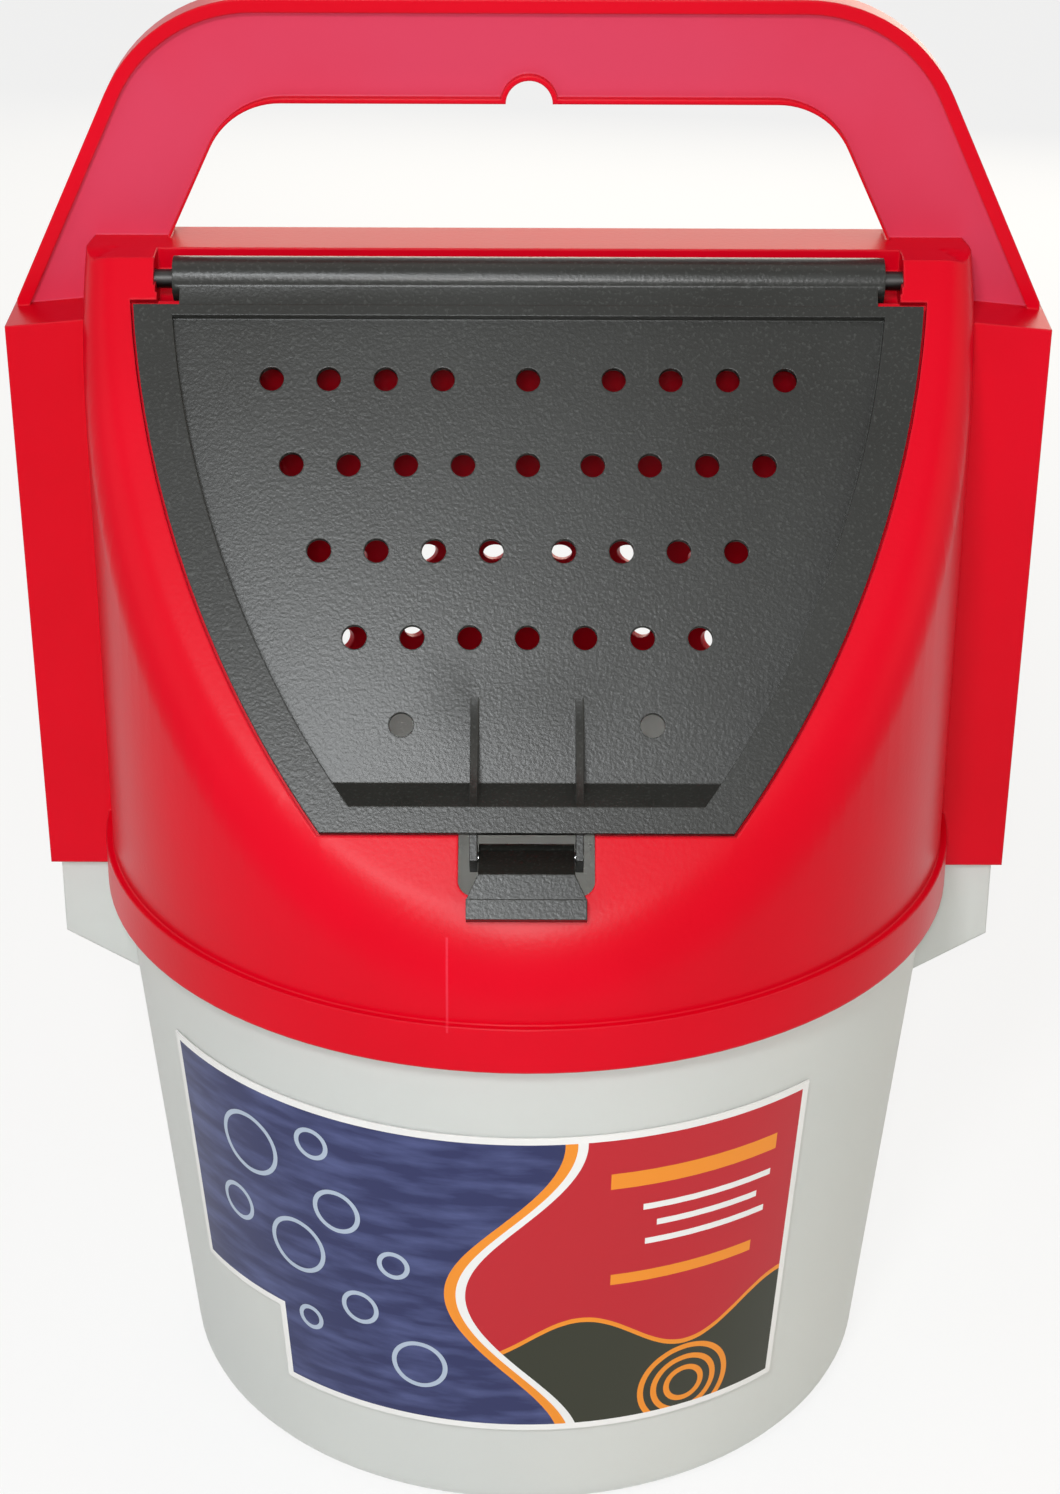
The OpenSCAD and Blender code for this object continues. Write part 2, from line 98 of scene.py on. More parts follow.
def makeCamera(v):
    # The camera sits on a line that leaves the aim point upwards at the pitch angle.
    pitch = math.radians(v["pitch"])
    data = bpy.data.cameras.new("photoCamera")
    data.sensor_fit = "HORIZONTAL"
    data.sensor_width = 36.0
    data.lens = v["focalPx"] / v["widthPx"] * data.sensor_width
    data.shift_x = (v["widthPx"] / 2 - v["centreXPx"]) / v["widthPx"]
    data.shift_y = (v["centreYPx"] - v["heightPx"] / 2) / v["widthPx"]
    data.clip_start = 0.01
    camera = bpy.data.objects.new("photoCamera", data)
    bpy.context.scene.collection.objects.link(camera)
    place = Vector((0, -v["distance"] * math.cos(pitch),
                    v["aimHeight"] + v["distance"] * math.sin(pitch)))
    lean = Matrix.Rotation(math.radians(90) - pitch, 4, "X")
    turn = lean @ Matrix.Rotation(math.radians(v["roll"]), 4, "Z")
    camera.matrix_world = Matrix.Translation(place) @ turn
    bpy.context.scene.camera = camera


def areaLamp(name, place, aim, size, power, colour):
    # A square lamp at a place, turned so that its face looks at the aim point.
    data = bpy.data.lights.new(name, "AREA")
    data.shape = "RECTANGLE"
    data.size, data.size_y = size
    data.energy = power
    data.color = colour
    lamp = bpy.data.objects.new(name, data)
    bpy.context.scene.collection.objects.link(lamp)
    lamp.location = place
    lamp.rotation_euler = (Vector(aim) - Vector(place)).to_track_quat("-Z", "Y").to_euler()
    lamp.visible_camera = False


studio = {
    "flash": {"place": (-0.14, -0.84, 0.90), "aim": (0, -0.06, 0.2), "size": (0.16, 0.16),
              "power": 4.3, "colour": (0.95, 0.98, 1.0)},
    "lens": {"place": (-0.01, -0.83, 0.61), "aim": (0, 0, 0.2), "size": (0.05, 0.05),
             "power": 2.6, "colour": (1.0, 1.0, 1.0)},
    "left": {"place": (-1.2, -0.7, 0.9), "aim": (0, 0, 0.2), "size": (0.9, 0.9),
             "power": 2.6, "colour": (1.0, 0.98, 0.94)},
    "right": {"place": (1.2, -0.3, 0.8), "aim": (0, 0, 0.2), "size": (0.9, 0.9),
              "power": 2.4, "colour": (1.0, 0.88, 0.62)},
    "top": {"place": (0, 0.3, 1.6), "aim": (0, 0, 0.2), "size": (1.2, 1.2),
            "power": 2.4, "colour": (1.0, 0.94, 0.82)},
    "back": {"place": (0.2, 1.3, 0.45), "aim": (0, 0, 0.15), "size": (1.0, 0.6),
             "power": 5.0, "colour": (1.0, 0.90, 0.70)},
    "worldStrength": 0.27,
    "worldColour": (1.0, 0.99, 0.96, 1.0),
    "white": (1.0, 1.0, 1.0, 1.0),
    "floorColour": (0.86, 0.86, 0.85, 1.0),
    "floorGlow": 0.8,         # share of plain white in what the camera sees of the floor
    "floorSize": 24.0,
}


def seenRay(tree):
    # One for rays that show the background itself: from the camera, off gloss, through glass.
    path = tree.nodes.new("ShaderNodeLightPath")
    first = calc(tree, "MAXIMUM", path.outputs["Is Camera Ray"], path.outputs["Is Glossy Ray"])
    return calc(tree, "MAXIMUM", first, path.outputs["Is Transmission Ray"])


def makeWorld(s):
    # Plain white where it is seen, and a weaker soft light on the object.
    world = bpy.data.worlds.new("studioWorld")
    bpy.context.scene.world = world
    world.use_nodes = True
    tree = world.node_tree
    tree.nodes.clear()
    out = tree.nodes.new("ShaderNodeOutputWorld")
    light = tree.nodes.new("ShaderNodeBackground")
    light.inputs["Color"].default_value = s["worldColour"]
    light.inputs["Strength"].default_value = s["worldStrength"]
    seen = tree.nodes.new("ShaderNodeBackground")
    seen.inputs["Color"].default_value = s["white"]
    mix = tree.nodes.new("ShaderNodeMixShader")
    tree.links.new(seenRay(tree), mix.inputs["Fac"])
    tree.links.new(light.outputs["Background"], mix.inputs[1])
    tree.links.new(seen.outputs["Background"], mix.inputs[2])
    tree.links.new(mix.outputs["Shader"], out.inputs["Surface"])


def makeFloor(s):
    # A flat square; part of what is seen of it is plain white, the rest takes the shadow.
    half = s["floorSize"] / 2
    mesh = bpy.data.meshes.new("floor")
    corners = [(-half, -half, 0), (half, -half, 0), (half, half, 0), (-half, half, 0)]
    mesh.from_pydata(corners, [], [(0, 1, 2, 3)])
    floor = bpy.data.objects.new("floor", mesh)
    bpy.context.scene.collection.objects.link(floor)
    material = bpy.data.materials.new("floorPaint")
    material.use_nodes = True
    tree = material.node_tree
    shader = tree.nodes["Principled BSDF"]
    shader.inputs["Base Color"].default_value = s["floorColour"]
    shader.inputs["Roughness"].default_value = 0.8
    glow = tree.nodes.new("ShaderNodeEmission")
    glow.inputs["Color"].default_value = s["white"]
    mix = tree.nodes.new("ShaderNodeMixShader")
    tree.links.new(calc(tree, "MULTIPLY", seenRay(tree), s["floorGlow"]), mix.inputs["Fac"])
    tree.links.new(shader.outputs["BSDF"], mix.inputs[1])
    tree.links.new(glow.outputs["Emission"], mix.inputs[2])
    tree.links.new(mix.outputs["Shader"], tree.nodes["Material Output"].inputs["Surface"])
    mesh.materials.append(material)


makeCamera(view)
for lampName in ("flash", "lens", "left", "right", "top", "back"):
    lamp = studio[lampName]
    areaLamp(lampName + "Lamp", lamp["place"], lamp["aim"], lamp["size"], lamp["power"], lamp["colour"])
makeWorld(studio)
makeFloor(studio)
bpy.context.scene.view_settings.view_transform = "Standard"
print("stage: camera and studio made")


# materials
def socketGroup(name, inputs, outputs):
    # An empty node group with the named sockets; returns the group and its two end nodes.
    group = bpy.data.node_groups.new(name, "ShaderNodeTree")
    for label, value in inputs:
        socket = group.interface.new_socket(label, in_out="INPUT", socket_type="NodeSocketFloat")
        socket.default_value = value
    for label in outputs:
        group.interface.new_socket(label, in_out="OUTPUT", socket_type="NodeSocketFloat")
    return group, group.nodes.new("NodeGroupInput"), group.nodes.new("NodeGroupOutput")


grainSettings = {
    "fineDetail": 3.0, "broadDetail": 4.0,
    "speckleFrom": 0.56, "speckleTo": 0.72,      # fine noise at which speckle starts and is full
    "shadeFrom": 0.35, "shadeTo": 0.65,          # broad noise at the low and the high colour
    "wearAndHighlightFrom": 0.97, "wearAndHighlightTo": 0.80,            # normal dot normal where the pale edges, partly wear and partly painted highlight, start and are full
    "bevelSamples": 6,
}


def grainGroup(s):
    # Moulded grain: fine noise as a height, broad noise as a shade, and a speckle that rises
    # from 0 to 1 between two values of the fine noise.
    group, start, end = socketGroup("mouldedGrain", [("Scale", 900.0), ("Broad", 14.0)],
                                    ["Height", "Shade", "Speckle"])
    coords = group.nodes.new("ShaderNodeTexCoord")
    fine = group.nodes.new("ShaderNodeTexNoise")
    fine.inputs["Detail"].default_value = s["fineDetail"]
    broad = group.nodes.new("ShaderNodeTexNoise")
    broad.inputs["Detail"].default_value = s["broadDetail"]
    for noise, scale in ((fine, "Scale"), (broad, "Broad")):
        group.links.new(coords.outputs["Object"], noise.inputs["Vector"])
        group.links.new(start.outputs[scale], noise.inputs["Scale"])
    group.links.new(fine.outputs["Fac"], end.inputs["Height"])
    group.links.new(broad.outputs["Fac"], end.inputs["Shade"])
    speckle = group.nodes.new("ShaderNodeMapRange")
    speckle.inputs["From Min"].default_value = s["speckleFrom"]
    speckle.inputs["From Max"].default_value = s["speckleTo"]
    group.links.new(fine.outputs["Fac"], speckle.inputs["Value"])
    group.links.new(speckle.outputs["Result"], end.inputs["Speckle"])
    return group


grain = grainGroup(grainSettings)


def surface(name, s, patches=None):
    # Two near colours mixed by broad noise, fine pale speckle and pale edges over them, roughness by the
    # same broad noise, and a bump from the fine noise on normals that are rounded near edges. An edge is
    # paler where the rounded normal leaves the plain one: partly wear, partly a painted highlight along
    # the edge.
    material = bpy.data.materials.new(name)
    material.use_nodes = True
    tree = material.node_tree
    shader = tree.nodes["Principled BSDF"]
    texture = tree.nodes.new("ShaderNodeGroup")
    texture.node_tree = grain
    texture.inputs["Scale"].default_value = s["grainScale"]
    texture.inputs["Broad"].default_value = s["broadScale"]
    ramp = tree.nodes.new("ShaderNodeMapRange")
    ramp.inputs["From Min"].default_value = grainSettings["shadeFrom"]
    ramp.inputs["From Max"].default_value = grainSettings["shadeTo"]
    tree.links.new(texture.outputs["Shade"], ramp.inputs["Value"])
    colour = over(tree, ramp.outputs["Result"], s["colourLow"], s["colourHigh"])
    if patches:
        colour = patches(tree, colour, texture)
    if "speckle" in s:
        share = calc(tree, "MULTIPLY", texture.outputs["Speckle"], s["speckle"])
        colour = over(tree, share, colour, s["pale"])
    soft = tree.nodes.new("ShaderNodeBevel")
    soft.samples = grainSettings["bevelSamples"]
    soft.inputs["Radius"].default_value = s["edge"]
    # pale edges: partly real wear, partly a painted highlight along rounded edges
    if "wearAndHighlight" in s:
        plain = tree.nodes.new("ShaderNodeNewGeometry")
        meet = tree.nodes.new("ShaderNodeVectorMath")
        meet.operation = "DOT_PRODUCT"
        tree.links.new(soft.outputs["Normal"], meet.inputs[0])
        tree.links.new(plain.outputs["Normal"], meet.inputs[1])
        away = tree.nodes.new("ShaderNodeMapRange")
        away.inputs["From Min"].default_value = grainSettings["wearAndHighlightFrom"]
        away.inputs["From Max"].default_value = grainSettings["wearAndHighlightTo"]
        away.inputs["To Max"].default_value = s["wearAndHighlight"]
        tree.links.new(meet.outputs["Value"], away.inputs["Value"])
        share = calc(tree, "MULTIPLY", away.outputs["Result"], texture.outputs["Shade"])
        colour = over(tree, share, colour, s["pale"])
    tree.links.new(colour, shader.inputs["Base Color"])
    rough = tree.nodes.new("ShaderNodeMapRange")
    rough.inputs["To Min"].default_value = s["roughLow"]
    rough.inputs["To Max"].default_value = s["roughHigh"]
    tree.links.new(texture.outputs["Shade"], rough.inputs["Value"])
    tree.links.new(rough.outputs["Result"], shader.inputs["Roughness"])
    bump = tree.nodes.new("ShaderNodeBump")
    bump.inputs["Strength"].default_value = s["bumpStrength"]
    bump.inputs["Distance"].default_value = s["bumpDepth"]
    tree.links.new(texture.outputs["Height"], bump.inputs["Height"])
    tree.links.new(soft.outputs["Normal"], bump.inputs["Normal"])
    tree.links.new(bump.outputs["Normal"], shader.inputs["Normal"])
    for socket, value in s.get("fixed", {}).items():
        shader.inputs[socket].default_value = value
    return material


def objectPlace(tree):
    # The x, y and z of a point on the piece, and its normal's y.
    coords = tree.nodes.new("ShaderNodeTexCoord")
    place = tree.nodes.new("ShaderNodeSeparateXYZ")
    tree.links.new(coords.outputs["Object"], place.inputs["Vector"])
    facing = tree.nodes.new("ShaderNodeSeparateXYZ")
    tree.links.new(coords.outputs["Normal"], facing.inputs["Vector"])
    return place.outputs["X"], place.outputs["Y"], place.outputs["Z"], facing.outputs["Y"]


redSettings = {
    "grainScale": 700.0, "broadScale": 9.0,
    "colourLow": (0.62, 0.0, 0.010, 1.0), "colourHigh": (0.70, 0.0, 0.014, 1.0),
    "pale": (0.86, 0.06, 0.08, 1.0), "wearAndHighlight": 0.6, "edge": 0.0009,
    "roughLow": 0.27, "roughHigh": 0.36, "bumpStrength": 0.10, "bumpDepth": 0.0003,
    "fixed": {"Specular IOR Level": 0.12},
    "recessSheenColour": (0.64, 0.050, 0.105, 1.0),   # painted sheen: a paler pink on the handle's sunk inner faces stands in for the broad highlight on them
    "recessMiddle": 0.022, "recessHalf": 0.0029, "recessLow": 0.3170,
    "lineX": -0.0201, "lineHalf": 0.0003,        # mould line on the front
    "lineLow": 0.1690, "lineTop": 0.1935,
    "lineColour": (0.80, 0.05, 0.09, 1.0), "lineShare": 0.9,
    "lineBackY": -0.05,                          # the line is only in front of this y
    "recessFacing": 0.9,                         # how squarely a sunk face looks front or back
    "recessSheenShare": 0.45,                         # added to the broad noise for the painted sheen on the sunk faces
}


def redPatches(tree, colour, texture):
    # The handle's sunk faces get a painted sheen, a paler pink in place of a highlight, and a thin mould
    # line runs down the hood's front.
    s = redSettings
    x, y, z, facing = objectPlace(tree)
    sunk = calc(tree, "MULTIPLY", within(tree, y, s["recessMiddle"], s["recessHalf"]),
                calc(tree, "GREATER_THAN", z, s["recessLow"]))
    sunk = calc(tree, "MULTIPLY", sunk, calc(tree, "GREATER_THAN", calc(tree, "ABSOLUTE", facing),
                                             s["recessFacing"]))
    sunk = calc(tree, "MULTIPLY", sunk, calc(tree, "ADD", texture.outputs["Shade"],
                                             s["recessSheenShare"]))
    line = calc(tree, "MULTIPLY", within(tree, x, s["lineX"], s["lineHalf"]),
                calc(tree, "LESS_THAN", z, s["lineTop"]))
    line = calc(tree, "MULTIPLY", line, calc(tree, "GREATER_THAN", z, s["lineLow"]))
    line = calc(tree, "MULTIPLY", line, calc(tree, "LESS_THAN", y, s["lineBackY"]))
    faint = calc(tree, "MULTIPLY", texture.outputs["Shade"], s["lineShare"])
    line = calc(tree, "MULTIPLY", line, faint)
    # painted sheen: the paler pink laid over the handle's sunk faces
    colour = over(tree, sunk, colour, s["recessSheenColour"])
    return over(tree, line, colour, s["lineColour"])


blackSettings = {
    "grainScale": 1100.0, "broadScale": 12.0,
    "colourLow": (0.014, 0.014, 0.012, 1.0), "colourHigh": (0.022, 0.023, 0.021, 1.0),
    "pale": (0.09, 0.095, 0.09, 1.0), "speckle": 0.35, "wearAndHighlight": 0.5, "edge": 0.0005,
    "roughLow": 0.26, "roughHigh": 0.33, "bumpStrength": 0.20, "bumpDepth": 0.0003,
    "fixed": {"Specular IOR Level": 0.3},
}
pailSettings = {
    "grainScale": 500.0, "broadScale": 7.0,
    "colourLow": (0.78, 0.81, 0.79, 1.0), "colourHigh": (0.84, 0.86, 0.83, 1.0),
    "pale": (0.92, 0.93, 0.91, 1.0), "wearAndHighlight": 0.4, "edge": 0.0010,
    "roughLow": 0.40, "roughHigh": 0.5, "bumpStrength": 0.05, "bumpDepth": 0.0003,
    "fixed": {"Transmission Weight": 0.30, "IOR": 1.5},
}
foamSettings = {
    "grainScale": 260.0, "broadScale": 30.0,
    "colourLow": (0.78, 0.77, 0.72, 1.0), "colourHigh": (0.88, 0.87, 0.82, 1.0),
    "roughLow": 0.8, "roughHigh": 0.95, "bumpStrength": 0.5, "bumpDepth": 0.001, "edge": 0.001,
}
steelSettings = {
    "grainScale": 900.0, "broadScale": 60.0,
    "colourLow": (0.52, 0.52, 0.53, 1.0), "colourHigh": (0.62, 0.62, 0.63, 1.0),
    "roughLow": 0.22, "roughHigh": 0.34, "bumpStrength": 0.05, "bumpDepth": 0.0002,
    "edge": 0.0003, "fixed": {"Metallic": 1.0},
}
darkSteelSettings = {
    "grainScale": 900.0, "broadScale": 60.0,
    "colourLow": (0.035, 0.035, 0.036, 1.0), "colourHigh": (0.060, 0.058, 0.056, 1.0),
    "roughLow": 0.35, "roughHigh": 0.5, "bumpStrength": 0.05, "bumpDepth": 0.0002,
    "edge": 0.0003, "fixed": {"Metallic": 1.0},
}

labelLow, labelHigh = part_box("label")
labelForm = {
    "left": math.radians(-58.0), "right": math.radians(42.0),   # azimuth from the front
    "notchRight": math.radians(-40.0), "notchHeight": 0.026,
    "low": labelLow[2], "high": labelHigh[2],
    "radius": 0.1085,
    "border": 0.0021,
    "streakAlong": 45.0, "streakUp": 210.0, "streakDetail": 5.0,    # water streaks per metre
    "streakFrom": 0.42, "streakTo": 0.80,
    "paper": (0.84, 0.84, 0.83, 1.0),
    "navy": (0.022, 0.028, 0.105, 1.0), "water": (0.085, 0.105, 0.26, 1.0),
    "bubble": (0.42, 0.50, 0.62, 1.0),
    "red": (0.50, 0.012, 0.022, 1.0), "orange": (0.86, 0.28, 0.020, 1.0),
    "olive": (0.030, 0.032, 0.018, 1.0),
    "edgeU": -0.006, "edgeSwing": 0.016, "edgeWave": 0.105,    # wavy edge of the red field
    "orangeWidth": 0.0032, "whiteWidth": 0.0026,
    "oliveZ": 0.063, "oliveSwing": 0.007, "oliveWave": 0.062, "oliveLine": 0.0016,
    "bubbles": [(-0.080, 0.112, 0.0095), (-0.058, 0.121, 0.0045), (-0.052, 0.100, 0.0065),
                (-0.088, 0.088, 0.0055), (-0.066, 0.083, 0.0085), (-0.036, 0.086, 0.0040),
                (-0.047, 0.068, 0.0050), (-0.064, 0.058, 0.0035), (-0.030, 0.052, 0.0075)],
    "bubbleLine": 0.0007,
    "ripples": [0.0055, 0.0095, 0.0135], "rippleU": 0.047, "rippleZ": 0.041, "rippleLine": 0.0009,
    "bars": [(0.046, 0.118, 0.024, 0.0026), (0.050, 0.108, 0.019, 0.0010),
             (0.050, 0.102, 0.015, 0.0010), (0.050, 0.096, 0.018, 0.0010),
             (0.044, 0.084, 0.021, 0.0018)],
}


def labelPatches(tree, colour, texture):
    # A print on the unrolled label: u is azimuth times radius, z is height. A water field
    # with ring bubbles, a red field with plain bars past a sine edge with an orange and a
    # white line, an olive field with ripples below a second sine edge, and a paper border.
    s = labelForm
    x, y, z, facing = objectPlace(tree)
    azimuth = calc(tree, "ARCTAN2", x, calc(tree, "MULTIPLY", y, -1.0))
    u = calc(tree, "MULTIPLY", azimuth, s["radius"])

    def both(*masks):
        product = masks[0]
        for mask in masks[1:]:
            product = calc(tree, "MULTIPLY", product, mask)
        return product

    def ring(centreU, centreZ, radius, line):
        du = calc(tree, "SUBTRACT", u, centreU)
        dz = calc(tree, "SUBTRACT", z, centreZ)
        square = calc(tree, "ADD", calc(tree, "MULTIPLY", du, du), calc(tree, "MULTIPLY", dz, dz))
        return within(tree, calc(tree, "SQRT", square), radius, line)

    streak = tree.nodes.new("ShaderNodeTexNoise")
    streak.inputs["Scale"].default_value = 1.0
    streak.inputs["Detail"].default_value = s["streakDetail"]
    stretch = tree.nodes.new("ShaderNodeCombineXYZ")
    tree.links.new(calc(tree, "MULTIPLY", u, s["streakAlong"]), stretch.inputs["X"])
    tree.links.new(calc(tree, "MULTIPLY", z, s["streakUp"]), stretch.inputs["Y"])
    tree.links.new(stretch.outputs["Vector"], streak.inputs["Vector"])
    foam = tree.nodes.new("ShaderNodeMapRange")
    foam.inputs["From Min"].default_value = s["streakFrom"]
    foam.inputs["From Max"].default_value = s["streakTo"]
    tree.links.new(streak.outputs["Fac"], foam.inputs["Value"])
    printed = over(tree, foam.outputs["Result"], s["navy"], s["water"])
    for centreU, centreZ, radius in s["bubbles"]:
        printed = over(tree, ring(centreU, centreZ, radius, s["bubbleLine"]), printed, s["bubble"])

    wave = calc(tree, "SINE", calc(tree, "MULTIPLY", z, 2 * math.pi / s["edgeWave"]))
    past = calc(tree, "SUBTRACT", calc(tree, "SUBTRACT", u, s["edgeU"]),
                calc(tree, "MULTIPLY", wave, s["edgeSwing"]))
    printed = over(tree, calc(tree, "GREATER_THAN", past, 0.0), printed, s["orange"])
    printed = over(tree, calc(tree, "GREATER_THAN", past, s["orangeWidth"]), printed, s["paper"])
    redField = calc(tree, "GREATER_THAN", past, s["orangeWidth"] + s["whiteWidth"])
    printed = over(tree, redField, printed, s["red"])
    for row, (centreU, centreZ, half, thick) in enumerate(s["bars"]):
        bar = both(within(tree, u, centreU, half), within(tree, z, centreZ, thick))
        printed = over(tree, bar, printed, s["orange"] if row in (0, 4) else s["paper"])

    swell = calc(tree, "SINE", calc(tree, "MULTIPLY", u, 2 * math.pi / s["oliveWave"]))
    above = calc(tree, "SUBTRACT", calc(tree, "SUBTRACT", z, s["oliveZ"]),
                 calc(tree, "MULTIPLY", swell, s["oliveSwing"]))
    low = both(redField, calc(tree, "LESS_THAN", above, s["oliveLine"]))
    printed = over(tree, low, printed, s["orange"])
    deep = both(redField, calc(tree, "LESS_THAN", above, 0.0))
    printed = over(tree, deep, printed, s["olive"])
    for radius in s["ripples"]:
        ripple = both(deep, ring(s["rippleU"], s["rippleZ"], radius, s["rippleLine"]))
        printed = over(tree, ripple, printed, s["orange"])

    side = s["border"] / s["radius"]
    inside = both(calc(tree, "GREATER_THAN", azimuth, s["left"] + side),
                  calc(tree, "LESS_THAN", azimuth, s["right"] - side),
                  calc(tree, "GREATER_THAN", z, s["low"] + s["border"]),
                  calc(tree, "LESS_THAN", z, s["high"] - s["border"]))
    notch = both(calc(tree, "LESS_THAN", azimuth, s["notchRight"] + side),
                 calc(tree, "LESS_THAN", z, s["low"] + s["notchHeight"] + s["border"]))
    inside = calc(tree, "MULTIPLY", inside, calc(tree, "SUBTRACT", 1.0, notch))
    return over(tree, inside, colour, printed)


labelSettings = {
    "grainScale": 500.0, "broadScale": 25.0,
    "colourLow": (0.80, 0.80, 0.79, 1.0), "colourHigh": (0.86, 0.86, 0.85, 1.0),
    "roughLow": 0.34, "roughHigh": 0.46, "bumpStrength": 0.04, "bumpDepth": 0.0002,
    "edge": 0.0002, "fixed": {"Specular IOR Level": 0.3},
}

redPlastic = surface("redPlastic", redSettings, redPatches)
blackPlastic = surface("blackPlastic", blackSettings)
pailPlastic = surface("pailPlastic", pailSettings)
floatFoam = surface("floatFoam", foamSettings)
brightSteel = surface("brightSteel", steelSettings)
darkSteel = surface("darkSteel", darkSteelSettings)
labelPrint = surface("labelPrint", labelSettings, labelPatches)


def dress(material, *nodeNames):
    # Gives CAD nodes that stay as they are their finish.
    for nodeName in nodeNames:
        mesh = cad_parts[nodeName].data
        mesh.materials.clear()
        mesh.materials.append(material)


dress(brightSteel, "latch_pin")
dress(darkSteel, "hinge_pin_left", "hinge_pin_right")
dress(floatFoam, "foam_float_left", "foam_float_right")
dress(labelPrint, "label")
print("stage: materials made")


# softened mouldings
hoodForm = {
    "radius": 0.1185,         # the hood's cylinder
    "frontTilt": 38.5,        # lean of the front face, degrees
    "frontRise": 0.0045,      # front face outside the hinge axis
    "hingeZ": 0.330,
    "backTilt": 33.0,
    "backY": 0.027,
    "topZ": 0.336,
    "blend": 0.009,           # size of the rounding between face and cylinder
    "cell": 0.0032,           # edges longer than this are halved in the rounding
    "rounds": 9,              # how often they are halved at most
    "steps": 4,               # corrections of a point towards the rounded form
    "margin": 0.003,          # refined this far inside the rounding
    "proud": 0.004,           # and this far outside the hood's surface
    "skin": 0.0005,           # the rounding is whole up to this far outside the hood
    "fade": 0.0040,           # and gone this much further out, or this close to the handle
    "handleFront": 0.017,
    "handleBack": 0.027,
    "handleFoot": 0.290,
}


def planeDistance(points, kind, s):
    # Distance of points outside the front or the back face, and that face's normal.
    if kind == "front":
        tilt = math.radians(s["frontTilt"])
        normal = np.array([0.0, -math.cos(tilt), math.sin(tilt)])
        return points @ normal - (s["hingeZ"] * normal[2] + s["frontRise"]), normal
    tilt = math.radians(s["backTilt"])
    normal = np.array([0.0, math.cos(tilt), math.sin(tilt)])
    return points @ normal - (s["backY"] * normal[1] + s["topZ"] * normal[2]), normal


def roundingShare(points, level, s):
    # How far a point follows the rounding: one on the hood's own surface, falling in a
    # straight line to zero outside it and beside the handle's foot.
    outside = np.clip((level - s["skin"]) / s["fade"], 0.0, 1.0)
    gap = np.maximum(s["handleFront"] - points[:, 1], points[:, 1] - s["handleBack"])
    beside = np.clip(gap / s["fade"], 0.0, 1.0)
    return (1.0 - outside) * np.where(points[:, 2] > s["handleFoot"], beside, 1.0)


def roundCreases(points, s):
    # Moves points so that where a face meets the cylinder the level of the sharp form,
    # the larger distance, becomes the level of a rounded one: root of the sum of squares
    # of both distances plus the blend size, less the blend size.
    moved = points.copy()
    size = s["blend"]
    for kind in ("front", "back"):
        before = moved.copy()
        away, normal = planeDistance(moved, kind, s)
        level = np.maximum(away, np.hypot(moved[:, 0], moved[:, 1]) - s["radius"])
        share = roundingShare(moved, level, s)[:, None]
        for step in range(s["steps"]):
            away, normal = planeDistance(moved, kind, s)
            reach = np.hypot(moved[:, 0], moved[:, 1])
            a = np.maximum(away + size, 0.0)
            b = np.maximum(reach - s["radius"] + size, 0.0)
            both = (a > 0) & (b > 0) & (level > -size)
            length = np.maximum(np.hypot(a, b), 1e-9)
            outward = np.zeros_like(moved)
            outward[:, 0] = moved[:, 0] / np.maximum(reach, 1e-9)
            outward[:, 1] = moved[:, 1] / np.maximum(reach, 1e-9)
            slope = (a[:, None] * normal + b[:, None] * outward) / length[:, None]
            error = length - size - level
            change = error[:, None] * slope / np.maximum((slope ** 2).sum(1), 1e-9)[:, None]
            moved[both] -= change[both]
        moved = before + share * (moved - before)
    return moved


def inBlend(points, s):
    # True where a point lies near the rounding of either face.
    reach = np.hypot(points[:, 0], points[:, 1]) - s["radius"]
    wide = s["blend"] + s["margin"]
    found = np.zeros(len(points), bool)
    for kind in ("front", "back"):
        away, normal = planeDistance(points, kind, s)
        found |= (away > -wide) & (reach > -wide) & (np.maximum(away, reach) < s["proud"])
    return found


def meshOf(name, source, material):
    mesh = bpy.data.meshes.new(name)
    source.to_mesh(mesh)
    piece = bpy.data.objects.new(name, mesh)
    bpy.context.scene.collection.objects.link(piece)
    mesh.materials.append(material)
    return piece


def mergedCopy(nodeName, name, material):
    # The node's own surface, its loose triangles joined along their edges.
    work = bmesh.new()
    work.from_mesh(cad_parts[nodeName].data)
    bmesh.ops.remove_doubles(work, verts=work.verts, dist=2e-6)
    piece = meshOf(name, work, material)
    work.free()
    return piece


def pointsOf(mesh):
    places = np.empty(len(mesh.vertices) * 3)
    mesh.vertices.foreach_get("co", places)
    return places.reshape(-1, 3)


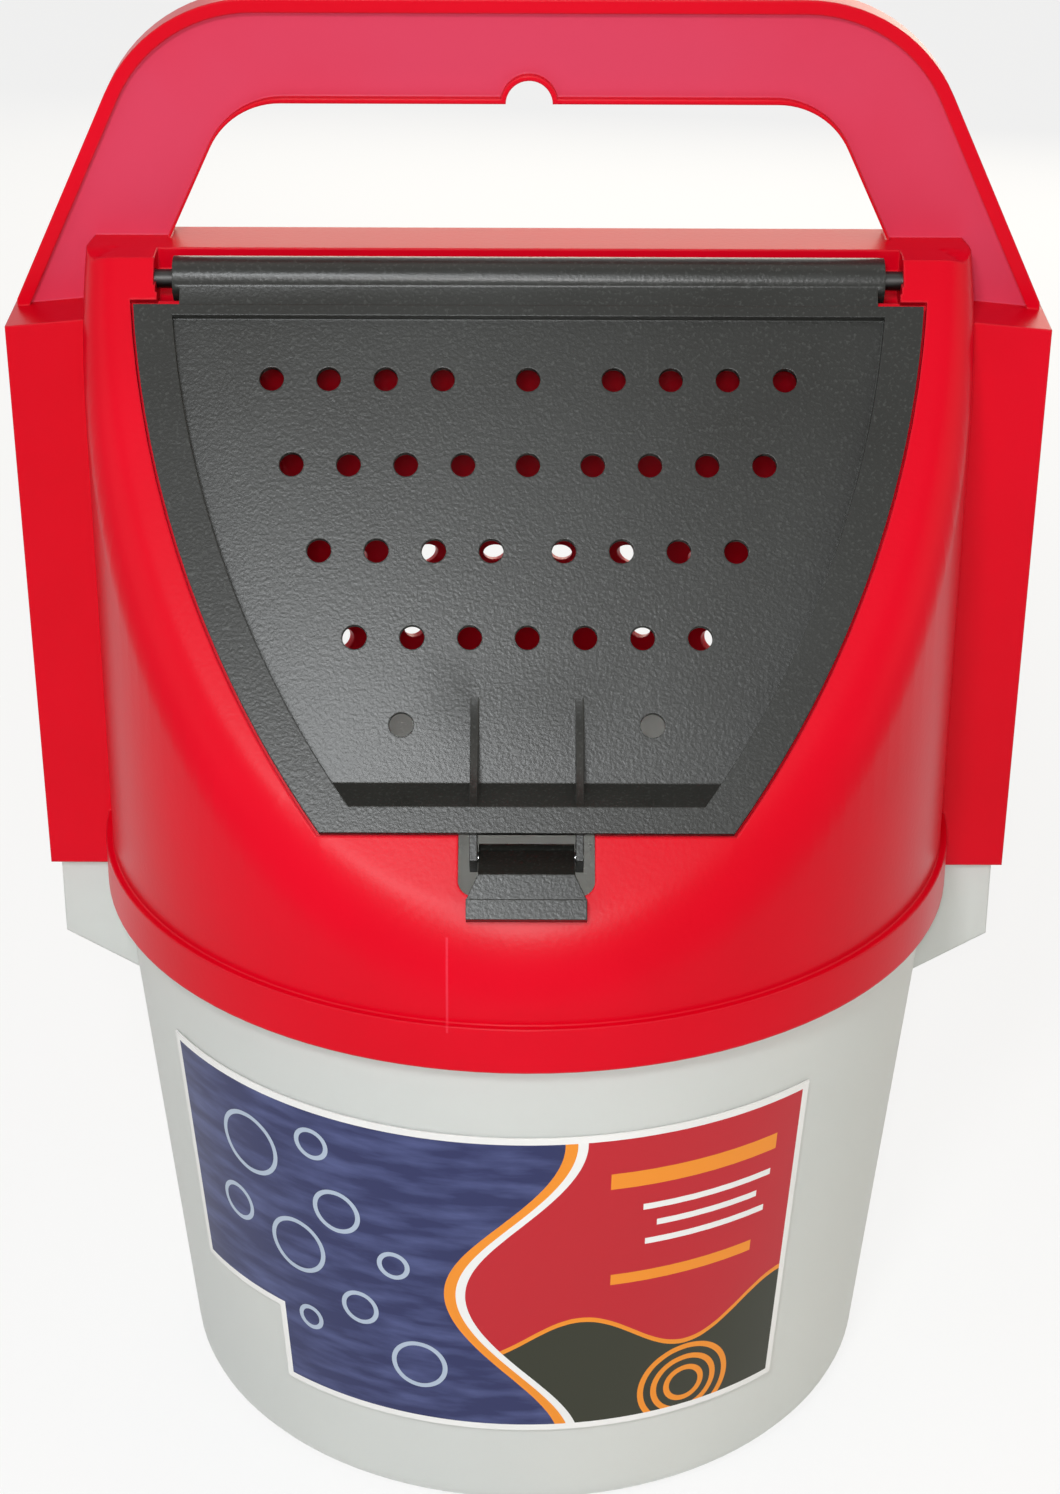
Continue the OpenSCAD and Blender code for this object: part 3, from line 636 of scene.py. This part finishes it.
def refine(piece, near, cell, rounds):
    # Halves each edge longer than the cell whose ends or middle are near, round after round
    # up to the given number, so that some longer edges may be left.
    work = bmesh.new()
    work.from_mesh(piece.data)
    bmesh.ops.triangulate(work, faces=work.faces)
    for step in range(rounds):
        work.to_mesh(piece.data)
        places = pointsOf(piece.data)
        ends = np.empty(len(piece.data.edges) * 2, np.int64)
        piece.data.edges.foreach_get("vertices", ends)
        first, last = places[ends[0::2]], places[ends[1::2]]
        long = np.linalg.norm(first - last, axis=1) > cell
        wanted = long & (near(first) | near(last) | near((first + last) / 2))
        if not wanted.any():
            break
        work.edges.ensure_lookup_table()
        chosen = [work.edges[i] for i in np.flatnonzero(wanted)]
        bmesh.ops.subdivide_edges(work, edges=chosen, cuts=1)
        bmesh.ops.triangulate(work, faces=[f for f in work.faces if len(f.verts) > 3])
        work.verts.index_update()
        work.edges.index_update()
    work.free()


def smoothShade(piece, angle=40.0):
    # Smooth where faces meet at less than the angle; larger faces weigh more in a normal.
    mesh = piece.data
    mesh.attributes.remove(mesh.attributes["custom_normal"])
    mesh.polygons.foreach_set("use_smooth", np.ones(len(mesh.polygons), bool))
    mesh.set_sharp_from_angle(angle=math.radians(angle))
    even = piece.modifiers.new("evenNormals", "WEIGHTED_NORMAL")
    even.keep_sharp = True
    even.weight = 80


def makeHood(s):
    # The hood's moulding, with a soft passage from its sloping faces to the cylinder.
    piece = mergedCopy("hood", "hoodMoulding", redPlastic)
    refine(piece, lambda p: inBlend(p, s), s["cell"], s["rounds"])
    places = roundCreases(pointsOf(piece.data), s)
    piece.data.vertices.foreach_set("co", places.ravel())
    piece.data.update()
    smoothShade(piece)
    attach(piece, "bucket")
    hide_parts("hood")


makeHood(hoodForm)
print("stage: hood made")

mergedPieces = {
    "pail": {"name": "pailMoulding", "body": "bucket", "slot": "clear_white", "material": pailPlastic},
    "door": {"name": "doorMoulding", "body": "door", "slot": "black", "material": blackPlastic},
    "latch_lever": {"name": "latchMoulding", "body": "latch", "slot": "black", "material": blackPlastic},
}
for nodeName, s in mergedPieces.items():
    piece = mergedCopy(nodeName, s["name"], s["material"])
    smoothShade(piece)
    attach(piece, s["body"])
    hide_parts(nodeName)
print("stage: pail, door and latch made")
